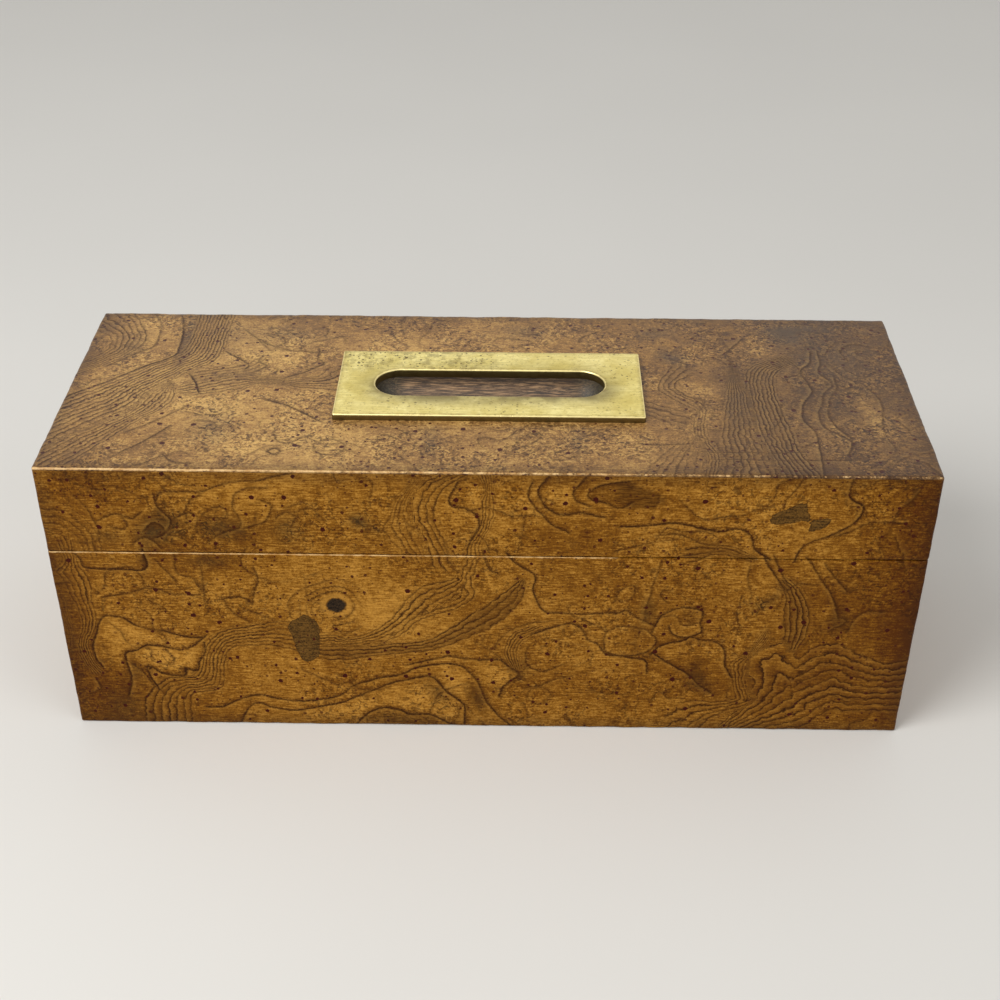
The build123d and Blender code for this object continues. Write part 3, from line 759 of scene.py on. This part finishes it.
        [(-19.5, 25), (-16.5, 30), (-10.5, 29), (-7.5, 27), (-5, 22.5), (-6.5, 15), (-10.5, 13), (-14, 17)],
        [(-3.5, 31), (3.5, 31.5), (7.5, 29.5), (10.5, 26.5), (5, 20), (2, 18), (-1, 22.5)],
        [(-6.5, 110), (-1.5, 110), (-0.5, 107), (-1.5, 101.5), (-3.5, 98.5), (-7.5, 102.5), (-8, 107)],
        [(21, 109.5), (29, 110), (29, 104), (32, 99.5), (25, 98.5), (19.5, 102.5), (19, 107)],
        [(61, 38), (66.5, 40.5), (73.5, 43), (80.5, 41.5), (84.5, 38), (85, 31.5), (79, 33), (76, 34), (74.5, 27),
         (68, 31), (64.5, 33.5)],
        [(120.5, 60), (123.5, 58.5), (121, 51.5), (117.5, 51), (116, 57)],
    ],
    patches=[
        [(-65.5, 53), (-61, 50), (-60, 45), (-60.5, 35), (-61.5, 32.5), (-65, 30.5), (-67.5, 31.5), (-69, 36.5),
         (-69.5, 40), (-71.5, 46.5), (-70, 50), (-67, 51)],
        [(96, 97), (97.5, 99), (102, 101), (105, 103), (108, 103), (108.5, 99.5), (110, 96.5), (116.5, 97),
         (117, 95.5), (114.5, 92.5), (109, 91), (110.5, 94), (108.5, 96), (104.5, 95), (97.5, 94), (96, 95)],
    ],
    knots=[
        ((-53.5, 57), 3.5, 3.2, 0),
    ],
    shades=[
        (0.75, [(42.5, 111), (46.5, 111.4), (49, 110.8), (53.5, 108.2), (57.5, 106.3), (61, 104.6), (60, 102.8),
                (56, 100.2), (50, 99.7), (45.5, 101.8), (42.5, 103), (45, 105), (43.5, 107)]),
        (0.35, [(34.5, 105.4), (38.1, 108.6), (43.5, 111.3), (45, 105), (45.3, 101.8), (39.9, 103.1), (35.3, 103.1)]),
        (0.6, [(-116, 93), (-113, 98), (-111, 101), (-110, 97), (-108.5, 94), (-109, 91), (-111, 89.5), (-114, 90)]),
        (0.45, [(56, 62), (57.5, 57), (58, 52), (60, 50), (61.5, 52), (60, 57), (57.5, 62)]),
        (0.4, [(76, 36), (79, 33), (78, 28), (81, 22), (80, 19), (76, 24), (73, 29)]),
        (0.4, [(120.5, 63), (124, 60), (129, 52), (130, 47), (126, 48), (122, 53)]),
        (0.35, [(92.5, 59.5), (99, 62.5), (105, 68), (104, 64), (99, 60)]),
        (0.3, [(-47, 1.5), (-45, 5.5), (-41, 8), (-37.5, 8.5), (-32.5, 7.5), (-29.5, 5.5), (-22, 5.5), (-14.5, 1)]),
        (0.45, [(70, 88.5), (76, 87.5), (82, 85.5), (88, 83), (92, 80), (84, 80), (78, 84), (72, 86.5)]),
        (0.4, [(120, 112), (122.5, 112), (122, 105.5), (125.5, 103), (127.5, 99.5), (126.5, 96), (124, 94),
               (124.5, 98), (123.5, 101.5), (121, 103), (119.8, 106)]),
        (0.45, [(69, 56), (74, 56), (75, 52), (72, 50), (69, 52)]),
        (0.3, [(-5, 22), (-2, 17), (0, 10), (-4, 9), (-8, 14), (-9, 20)]),
    ],
    hills=[
        (5, (-53.5, 57), 12, 9, 20), (3, (26, 36), 18, 13, 0),
    ],
    tints=[
        (-0.4, (-152, 45), 12, 50, 0), (-0.2, (-125, 4), 22, 14, 0), (-0.25, (-136, 17), 11, 15, 0),
        (-0.1, (-151, 3), 10, 9, 0), (-0.25, (73, 36), 10, 7, 0), (-0.35, (120, 20), 36, 20, 0),
        (-0.5, (152, 55), 12, 60, 0), (-0.35, (128, 56), 26, 20, 0), (0.2, (-40, 52), 18, 12, 0),
        (0.25, (-45, 74), 8, 5, 0), (-0.35, (152, 100), 20, 20, 0), (-0.25, (-125, 105), 26, 9, 0),
        (-0.2, (-90, 88), 20, 7, 0), (0.2, (-100, 104), 25, 7, 0), (0.15, (27, 44), 14, 10, 0),
        (0.15, (-115, 33), 9, 6, 0), (-0.35, (-95, 75), 9, 5, 0), (-0.3, (-112, 79), 6, 4, 0),
        (-0.2, (30, 88), 18, 8, 0), (-0.15, (25, 20), 30, 10, 0), (-0.3, (-4, 16), 4, 8, 20),
        (-0.3, (75, 25), 4, 8, 30),
    ],
    stains=[
        (0.75, (-110.5, 92), 5.5, 5.5, 30), (0.7, (-116, 87), 5, 5, 40), (0.4, (-130, 86), 6, 3, 0),
        (0.6, (-91, 90), 9, 5, 0), (0.5, (-68, 90), 5, 6, 0), (0.75, (-44, 94), 3.2, 2.6, -30),
        (0.4, (-40, 91), 5, 2, -30), (0.6, (-119, 77), 2, 5, 0), (0.45, (-97, 76), 7, 3, 0),
        (0.6, (56.5, 55), 2.5, 7, 0), (0.45, (98, 60), 6, 2.5, 35), (0.6, (-18, 16), 3, 6, 40),
        (0.5, (77, 24), 3, 7, 35), (0.35, (-129, 25), 3, 6, 0), (0.35, (125, 52), 4, 5, 0), (0.4, (-135, 8), 8, 8, 0),
        (0.35, (12, 28), 4, 6, 0), (0.5, (-3, 13), 3, 7, 20), (0.4, (-34, 3.5), 11, 4, 0),
    ],
)

TOP_FIGURE = Figure(
    seed=11, wild=2.2, wild_seen=0.6,
    sheaves=[
        (6, 0.8, 0.05,  # Left swirl
         [(-151, 39.5), (-146.5, 36.5), (-144.5, 31.5), (-144.5, 26.5), (-147.5, 21.5), (-151, 18)],
         [(-140, 54.5), (-135.5, 44.5), (-132.5, 37), (-132.5, 30.5), (-136.5, 22), (-142.5, 15.5), (-151.5, 7.5)]),
        (10, 1.0, 0.05,  # Diagonal
         [(-152.5, -8.5), (-137.5, 4), (-127.5, 14), (-119, 21.5), (-115.5, 27), (-114.5, 39), (-114.5, 54.5)],
         [(-152.5, -43), (-144, -33), (-136, -24.5), (-127.5, -15.5), (-124, -6), (-117.5, 2), (-111, 10.5),
          (-104, 17), (-102, 24), (-102, 39), (-101, 54.5)]),
        (6, 0.9, 0.05,  # Diagonal low
         [(-151.5, -44.5), (-143.5, -34.5), (-135, -26), (-126.5, -17), (-123, -7), (-116.5, 1.5)],
         [(-138.5, -48), (-130, -35.5), (-123.5, -24.5), (-116, -16), (-113.5, -8.5), (-115, -1)]),
        (5, 0.9, 0.05,  # Wave
         [(-109, -7), (-99, -5), (-91, -2), (-85, 1.5), (-77.5, 1.5), (-69, -1), (-57.5, -2)],
         [(-105, 4), (-96, 8), (-91, 8), (-83.5, 6.5), (-73.5, 6), (-63.5, 7.5), (-60.5, 12)]),
        (4, 0.7, 0.05,  # Wave upper
         [(-106, 3.5), (-98.5, 6), (-89, 8.5), (-85, 12)],
         [(-106, 12), (-98.5, 14), (-93, 16.5), (-91, 19)]),
        (7, 1.0, 0.25,  # Right sheaf
         [(98.5, -56), (94.5, -36), (93, -23.5), (93, -3), (93.5, 9), (97.5, 18), (105, 23)],
         [(111.5, -56), (106, -40.5), (105, -28), (103, -11), (103, 5.5), (105.5, 14), (112.5, 20.5)]),
        (6, 0.8, 0.05,  # Right sheaf left
         [(79, -56), (81, -44.5), (81, -32), (82.5, -22)],
         [(97.5, -56), (93.5, -36), (92.5, -23.5), (92, -3), (91, 9), (89, 20.5), (87.5, 28)]),
        (3, 0.8, 0.05,  # Left nest
         [(64, 10.5), (61, 2), (63.5, -4), (68.5, -9.5), (73, -14), (72.5, -18.5), (71.5, -24.5), (72.5, -36),
          (75, -44.5), (72.5, -56)],
         [(72, 10), (67.5, 5.5), (67, 1.5), (70, -3), (75, -8), (77, -13.5), (76, -18.5), (75, -24.5), (76, -36),
          (78.5, -44.5), (76.5, -56)]),
        (6, 0.6, 0.05,  # Foot
         [(52.5, -56), (56.5, -47), (64, -37)],
         [(71.5, -56), (72.5, -47), (74, -37)]),
        (3, 0.7, 0.05,  # Near plate
         [(54.5, -17), (59, -19.5), (63.5, -24.5)],
         [(55.5, -8), (60, -11), (65.5, -13.5)]),
    ],
    singles=[
        (1.0, [(-121, 50.5), (-119.5, 44.5), (-118.5, 36.5), (-118, 28), (-118.5, 22), (-127.5, 14), (-137.5, 4.5),
               (-151, -8)]),
        (0.6, [(-132.5, 54.5), (-129, 47), (-127.5, 39), (-128, 29), (-134.5, 22), (-141.5, 14.5)]),
        (0.9, [(-98.5, 24), (-94, 19.5), (-90, 15.5), (-90.5, 13)]),
        (0.7, [(-86, 21.5), (-86.5, 18), (-83, 14.5), (-85, 12)]),
        (0.8, [(-74, 6.5), (-69, 9.5), (-65, 14), (-61.5, 17), (-64, 20), (-65, 26.5)]),
        (0.6, [(-86, 32), (-77.5, 27), (-71.5, 26), (-64, 25.5)]), (1.0, [(-110, 7), (-107.5, 2), (-105, -4)]),
        (0.8, [(-112, -29), (-117.5, -37), (-124, -44)]),
        (0.6, [(-108.5, -15.5), (-113.5, -21), (-119, -26.5), (-125, -31.5)]),
        (0.8, [(-80, -10), (-72.5, -13), (-66, -18.5), (-59.5, -23.5)]),
        (0.5, [(-95, 41.5), (-89, 34.5), (-83.5, 26.5)]),
        (0.8, [(-74.5, -43), (-72.5, -41.5), (-70.5, -43.5), (-72, -45.5), (-74.5, -43.5)]),
        (0.5, [(-59, -38), (-53.5, -35.5), (-49, -39.5), (-51, -44.5), (-57.5, -44.5), (-59.5, -40.5)]),
        (0.6, [(-74, -33), (-72.5, -37), (-68.5, -38.5), (-64, -34.5)]),
        (0.7, [(-109.5, -47), (-106, -50.5), (-101, -51.5)]),
        (0.8, [(120, 28), (118.5, 20.5), (114.5, 14.5), (116, 5.5), (116.5, -1), (112.5, -8), (110.5, -16),
               (111, -21), (113.5, -28), (113.5, -36), (112.5, -56)]),
        (0.65, [(123, 29), (123, 20.5), (121, 14), (124.5, 5.5), (121, -1), (118.5, -9.5), (116.5, -17), (117, -24.5),
                (122.5, -30.5), (125, -34.5), (123, -40.5)]),
        (0.6, [(126, 9), (125.5, 2), (122, -6), (120, -16), (121, -23.5), (124.5, -30.5)]),
        (0.5, [(137.5, 1.5), (140, -6), (138.5, -19.5), (137.5, -28.5), (139, -36)]),
        (0.7, [(95.5, 38.5), (91, 32), (87.5, 27.5)]), (0.6, [(67.5, 22), (72, 19), (72.5, 17)]),
        (0.6, [(52.5, -36.5), (60, -37), (69, -36.5)]), (0.55, [(68.5, -41), (87.5, -41.5), (106, -41)]),
        (0.45, [(75, -45.5), (97.5, -46), (122.5, -45.5)]),
    ],
    # Most tints are the burl's own tone; the broad dark ones over the right part are painted shade, the light falling
    # off away from the left.
    tints=[
        (0.25, (-130, 40), 8, 18, 10), (0.3, (-97, -18), 12, 8, 0), (0.25, (-90, -38), 16, 8, 0),
        (0.12, (-60, -36), 18, 12, 0), (-0.03, (-20, -40), 22, 10, 0), (0.16, (-140, -4), 10, 15, 0),
        (0.12, (-82, 5), 15, 17, 0), (0.2, (100, 31), 7, 7, 0), (0.35, (135, -14), 4.5, 15, 5),
        (0.3, (79, -1), 6, 4.5, 0), (0.25, (78, -17), 6, 5, 0), (0.15, (114, -35), 10, 14, 0),
        (-0.45, (125, 0), 64, 80, 0), (-0.15, (135, 40), 40, 26, 0), (-0.25, (110, -50), 50, 14, 0),
        (-0.15, (0, 48), 90, 10, 0), (-0.25, (-150, -52), 30, 12, 0), (0.2, (-85, 20), 16, 10, 0),
        (0.25, (50, -40), 8, 8, 0), (-0.2, (90, 10), 8, 30, 0), (-0.25, (-152, 40), 8, 30, 0),
    ],
    # The broad stain over the right part is painted shade, like the dark tints there.
    stains=[
        (0.6, (-116, 38), 2.4, 22, 0), (0.5, (-96, -29), 7, 10, 0), (0.3, (-100, 38), 8, 12, 0),
        (0.8, (112, 41), 9, 6, -30), (0.6, (118, 47), 12, 4, 0), (0.8, (67, 24), 6, 4, -30),
        (0.6, (62, 43), 8, 5, 20), (0.45, (12, 43), 9, 6, 0), (0.5, (-20, -37), 3.5, 11, 0),
        (0.45, (31, -34), 3, 9, -10), (0.35, (125, 25), 16, 12, 0), (0.35, (-136, 28), 5, 8, 0),
        (0.4, (-95, 8), 12, 4, 10), (0.3, (135, 50), 20, 6, 0), (0.35, (-80, 40), 12, 8, 0),
        (0.3, (88, -10), 5, 16, 0), (0.3, (128, -8), 42, 55, 0),
    ],
)


def wandering_figure(seed, half_length, height):
    """A figure for a face that needs no particular one: sheaves and single lines that wander across it."""
    rng = random.Random(seed)

    def spot():
        return rng.uniform(-half_length, half_length), rng.uniform(0, height)

    def wander(x, z, heading, steps, stride, turning):
        points = [(x, z)]
        for _ in range(steps):
            heading += rng.uniform(-turning, turning)
            x += stride * math.cos(heading)
            z += 0.7 * stride * math.sin(heading)
            points.append((x, z))
        return points

    sheaves = []
    for _ in range(max(2, round(half_length / 30))):
        low = wander(*spot(), rng.uniform(0, 6.3), 7, 13, 0.6)
        lean = rng.uniform(5, 11)
        high = [(x + rng.uniform(-1, 1), z + lean + rng.uniform(-1.5, 1.5)) for x, z in low]
        sheaves.append((rng.randint(3, 7), rng.uniform(0.7, 1.0), rng.choice([0, 0, 0.35]), low, high))
    singles = [
        (rng.uniform(0.5, 1.0), wander(*spot(), rng.uniform(0, 6.3), rng.randint(3, 8), rng.uniform(4, 9), 0.9))
        for _ in range(round(half_length / 7))
    ]
    hills = [
        (rng.uniform(2, 5), spot(), rng.uniform(9, 22), rng.uniform(7, 15), rng.uniform(0, 180))
        for _ in range(round(half_length / 18))
    ]
    tints = [(rng.uniform(-0.3, 0.3), spot(), rng.uniform(9, 24), rng.uniform(6, 14), 0) for _ in range(10)]
    stains = [(rng.uniform(0.3, 0.7), spot(), rng.uniform(3, 8), rng.uniform(2, 6), 0) for _ in range(6)]
    knots = [(spot(), rng.uniform(1.5, 3), rng.uniform(1.5, 3), 0)]
    spots = {"hills": hills, "tints": tints, "stains": stains, "knots": knots}
    return Figure(seed, 1.3, 0.8, sheaves=sheaves, singles=singles, **spots)


FIGURES = {
    "front": FRONT_FIGURE,
    "top": TOP_FIGURE,
    "back": wandering_figure(21, HALF_LENGTH, HEIGHT),
    "left": wandering_figure(34, HALF_DEPTH, HEIGHT),
    "right": wandering_figure(47, HALF_DEPTH, HEIGHT),
}


# Pieces


def copied_mesh(node):
    """A node's mesh as a new one to work on, with its flat faces whole again."""
    work = bmesh.new()
    work.from_mesh(nodes[node].data)
    bmesh.ops.remove_doubles(work, verts=work.verts, dist=0.001 * MM)
    bmesh.ops.dissolve_limit(work, angle_limit=math.radians(1), verts=work.verts, edges=work.edges)
    return work


def divided_mesh(node, cell, axes=3):
    """A copied mesh, cut across each axis near both of its ends and evenly between them."""
    work = copied_mesh(node)
    for axis, (low, high) in enumerate(list(zip(*box_mm(node)))[:axes]):
        if high - low < 2 * ARRIS_ROWS[-1]:
            continue
        way = Vector([float(axis == index) for index in range(3)])
        count = max(1, round((high - low) / cell))
        even = [low + (high - low) * index / count for index in range(1, count)]
        near = [low + row for row in ARRIS_ROWS] + [high - row for row in ARRIS_ROWS]
        for place in sorted(even + near):
            geometry = work.verts[:] + work.edges[:] + work.faces[:]
            bmesh.ops.bisect_plane(work, geom=geometry, plane_co=way * place * MM, plane_no=way)
    return work


def piece_from(work, name, body, material, slot, smooth_to, *replaced):
    """Finishes a mesh as a piece that rides on a body and stands for CAD nodes, smooth up to an angle."""
    mesh = bpy.data.meshes.new(name)
    work.to_mesh(mesh)
    work.free()
    mesh.materials.append(material)
    mesh.shade_smooth()
    mesh.set_sharp_from_angle(angle=math.radians(smooth_to))
    piece = bpy.data.objects.new(name, mesh)
    bpy.context.scene.collection.objects.link(piece)
    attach(piece, body)
    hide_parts(*replaced)
    return piece


def veneer_sheet(node, body, side, material):
    """A veneer sheet divided into small cells that carry the burl's figure, with its arrises unevenly worn."""
    work = divided_mesh(node, FINE_CELL if side in ("front", "top") else COARSE_CELL)
    spots = np.array([vertex.co for vertex in work.verts]) / MM
    u = spots[:, 1] if side in ("left", "right") else spots[:, 0]
    v = spots[:, 1] if side == "top" else spots[:, 2]
    for vertex, moved in zip(work.verts, worn(spots, body)):
        vertex.co = Vector(moved) * MM
    piece = piece_from(work, f"{node}_sheet", body, material, "burl_veneer", 40, node)
    for name, values in {**FIGURES[side].fields(u, v), **arris_fields(spots)}.items():
        kind, part = ("FLOAT_VECTOR", "vector") if values.ndim > 1 else ("FLOAT", "value")
        attribute = piece.data.attributes.new(name, kind, "POINT")
        attribute.data.foreach_set(part, values.astype(np.float32).ravel())


def arris_fields(spots):
    """How far points lie from the nearest outside arris, and from the rubbed strip along any arris."""
    x, y, z = spots.T
    from_end, from_side = HALF_LENGTH - np.abs(x), HALF_DEPTH - np.abs(y)
    from_seam = np.abs(z - (BASE_RIM + LID_RIM) / 2) - (LID_RIM - BASE_RIM) / 2
    from_top = HEIGHT - z
    front = y < 0
    right = np.clip(x / HALF_LENGTH, -1, 1)
    outer = [
        (from_side, from_top, np.where(front, 0.4 - 0.14 * right, 0.1)),
        (from_end, from_top, 0.12),
        (from_end, from_side, 0.1),
        (from_side, z, 0.1),
        (from_end, z, 0.1),
    ]
    below_seam = np.where(front, np.where(x < 45, 0.32, -0.12), 0.1)
    rims = [(from_side, from_seam, np.where(z < BASE_RIM + 0.1, below_seam, -0.5)), (from_end, from_seam, -0.3)]
    distances = [(np.maximum(a, b), rub) for a, b, rub in outer + rims]
    return {
        "edge": np.min([gap for gap, _ in distances[: len(outer)]], axis=0),
        "rub": np.min([gap - rub for gap, rub in distances], axis=0),
    }


def worn(spots, body):
    """Where points lie once the arrises near them are rubbed down by an uneven amount."""
    floor, ceiling = (0, BASE_RIM) if body == "base" else (LID_RIM, HEIGHT)
    middle = np.array([0, 0, (floor + ceiling) / 2])
    half = np.array([HALF_LENGTH, HALF_DEPTH, (ceiling - floor) / 2])
    inside = half - np.abs(spots - middle)
    from_arris = np.sort(inside, axis=1)[:, 1]
    uneven = [0.5 + noise.noise(Vector(spot) * 0.12) + 0.5 * noise.noise(Vector(spot) * 0.6) for spot in spots]
    depth = WEAR_DEPTH * np.clip(uneven, 0, 1.4) * np.exp(-((from_arris / WEAR_REACH) ** 2))
    near = np.exp(-((inside / WEAR_REACH) ** 2))
    return spots - np.sign(spots - middle) * near * depth[:, None]


def softened_piece(node, body, name, material, slot, width):
    """A copy of a node with its sharp edges rounded."""
    work = copied_mesh(node)
    sharp = [edge for edge in work.edges if edge.is_manifold and edge.calc_face_angle() > math.radians(25)]
    bmesh.ops.bevel(work, geom=sharp, offset=width * MM, segments=2, profile=0.5, affect="EDGES", clamp_overlap=True)
    piece_from(work, name, body, material, slot, 35, node)


def felt_sheet(node, body, material):
    """A felt sheet cut to a node's size, faintly uneven and rounded at its edges."""
    work = divided_mesh(node, FELT_CELL, axes=2)
    low, high = box_mm(node)
    thickness = high.z - low.z
    seat, face = (low.z, high.z) if body == "base" else (high.z, low.z)
    for vertex in work.verts:
        spot = vertex.co / MM
        edge = min(high.x - abs(spot.x), high.y - abs(spot.y))
        rounding = 0.3 * thickness * math.exp(-edge / 0.5)
        lump = 0.06 * thickness * noise.noise(spot * 0.07)
        if abs(spot.z - face) < 0.1 and node != "base_underside_felt":
            vertex.co.z += (rounding + abs(lump)) * MM * (1 if seat > face else -1)
    piece = piece_from(work, f"{node}_sheet", body, material, "felt", 60, node)


def paint(node, material):
    """Gives a CAD node another material."""
    nodes[node].data.materials.clear()
    nodes[node].data.materials.append(material)


side_burl = burl_material(
    "burl_sides", srgb(84, 43, 4), srgb(135, 87, 18), srgb(194, 140, 58), srgb(46, 20, 2), srgb(62, 46, 22),
    flecks=2.0, cloudy=0.7, curls=0.3, busy=1.1, brushed=1.9, relief=1.0, strips=0.62, gloss=0.07, haze=0.0,
)
# The top's paler, greyer colours stand partly for its more faded finish and partly for a painted sheen and the whiter
# light from above.
top_burl = burl_material(
    "burl_top", srgb(89, 60, 30), srgb(155, 114, 63), srgb(210, 168, 99), srgb(46, 22, 8), srgb(84, 66, 48),
    flecks=3.4, cloudy=0.9, curls=0.5, busy=1.15, brushed=1.1, relief=1.1, strips=0.45, gloss=0.2, haze=0.04,
)
for side in ("front", "back", "left", "right"):
    for body in ("base", "lid"):
        veneer_sheet(f"{body}_{side}_veneer", body, side, side_burl)
veneer_sheet("lid_top_veneer", "lid", "top", top_burl)

softened_piece("pull_plate", "lid", "plate", brass_plate_material(), "brass_plate", 0.12)

long_boards = mahogany_material("mahogany_long_boards", stretch=(0.06, 1.0, 1.0))
end_boards = mahogany_material("mahogany_end_boards", stretch=(1.0, 0.06, 1.0))
for body in ("base", "lid"):
    for side, wood in (("front", long_boards), ("back", long_boards), ("left", end_boards), ("right", end_boards)):
        paint(f"{body}_{side}_board", wood)
paint("base_bottom_board", long_boards)
paint("lid_top_board", groove_wood_material())

hinge_brass = hinge_brass_material()
for node in nodes:
    if "hinge" in node:
        paint(node, hinge_brass)

felt = felt_material()
felt_sheet("base_floor_lining", "base", felt)
felt_sheet("base_underside_felt", "base", felt)
felt_sheet("lid_lining", "lid", felt)


# Stage, light and camera


def stage_material(name, colour):
    """A plain matt surface."""
    shade = Shade(name, Roughness=0.9)
    grain = shade.step(shade.noise(0.004, 2), 0.2, 0.8)
    shade.set(Base_Color=shade.mix(grain, colour, [min(1, 1.03 * channel) for channel in colour]))
    return shade.material


def flat_stage(name, reach, material):
    """A level square that reaches the same way out from the middle on every side."""
    corners = [(-reach, -reach, 0), (reach, -reach, 0), (reach, reach, 0), (-reach, reach, 0)]
    mesh = bpy.data.meshes.new(name)
    mesh.from_pydata([Vector(corner) * MM for corner in corners], [], [range(len(corners))])
    stage_piece = bpy.data.objects.new(name, mesh)
    bpy.context.scene.collection.objects.link(stage_piece)
    mesh.materials.append(material)


flat_stage("floor", 3000.0, stage_material("pale_stage", srgb(222, 220, 215)))


def area_lamp(name, place, target, size, power):
    """A round lamp that faces a target."""
    lamp = bpy.data.lights.new(name, "AREA")
    lamp.shape = "DISK"
    lamp.size = size * MM
    lamp.energy = power
    holder = bpy.data.objects.new(name, lamp)
    holder.location = Vector(place) * MM
    holder.rotation_euler = (Vector(target) - Vector(place)).to_track_quat("-Z", "Y").to_euler()
    bpy.context.scene.collection.objects.link(holder)


area_lamp("key", (-620, -520, 950), (-60, 0, 60), size=700, power=9)
area_lamp("fill", (900, -700, 900), (0, 0, 60), size=900, power=3)


def soft_room():
    """A plain light room, which the camera, gloss and metal see as white."""
    world = bpy.data.worlds.new("soft_room")
    world.use_nodes = True
    tree = world.node_tree
    background = tree.nodes["Background"]
    background.inputs["Color"].default_value = (1.0, 0.99, 0.97, 1.0)
    ray = tree.nodes.new("ShaderNodeLightPath")
    seen = ray.outputs["Is Camera Ray"]
    for kind in ("Is Glossy Ray", "Is Transmission Ray"):
        either = tree.nodes.new("ShaderNodeMath")
        either.operation = "MAXIMUM"
        tree.links.new(seen, either.inputs[0])
        tree.links.new(ray.outputs[kind], either.inputs[1])
        seen = either.outputs[0]
    strength = tree.nodes.new("ShaderNodeMapRange")
    strength.inputs["To Min"].default_value = 0.5
    strength.inputs["To Max"].default_value = 1.0
    tree.links.new(seen, strength.inputs["Value"])
    tree.links.new(strength.outputs[0], background.inputs["Strength"])
    return world


bpy.context.scene.world = soft_room()

camera_data = bpy.data.cameras.new("camera")
camera_data.lens = CAMERA_LENS
camera_data.clip_start = 0.01
camera = bpy.data.objects.new("camera", camera_data)
turn = Matrix.Rotation(math.radians(CAMERA_TURN), 3, "Z")
tilt = Matrix.Rotation(math.radians(90 - CAMERA_DOWN), 3, "X")
roll = Matrix.Rotation(math.radians(CAMERA_ROLL), 3, "Z")
camera.rotation_euler = (turn @ tilt @ roll).to_euler()
camera.location = Vector(CAMERA_PLACE) * MM
bpy.context.scene.collection.objects.link(camera)
bpy.context.scene.camera = camera
bpy.context.scene.view_settings.view_transform = "Standard"
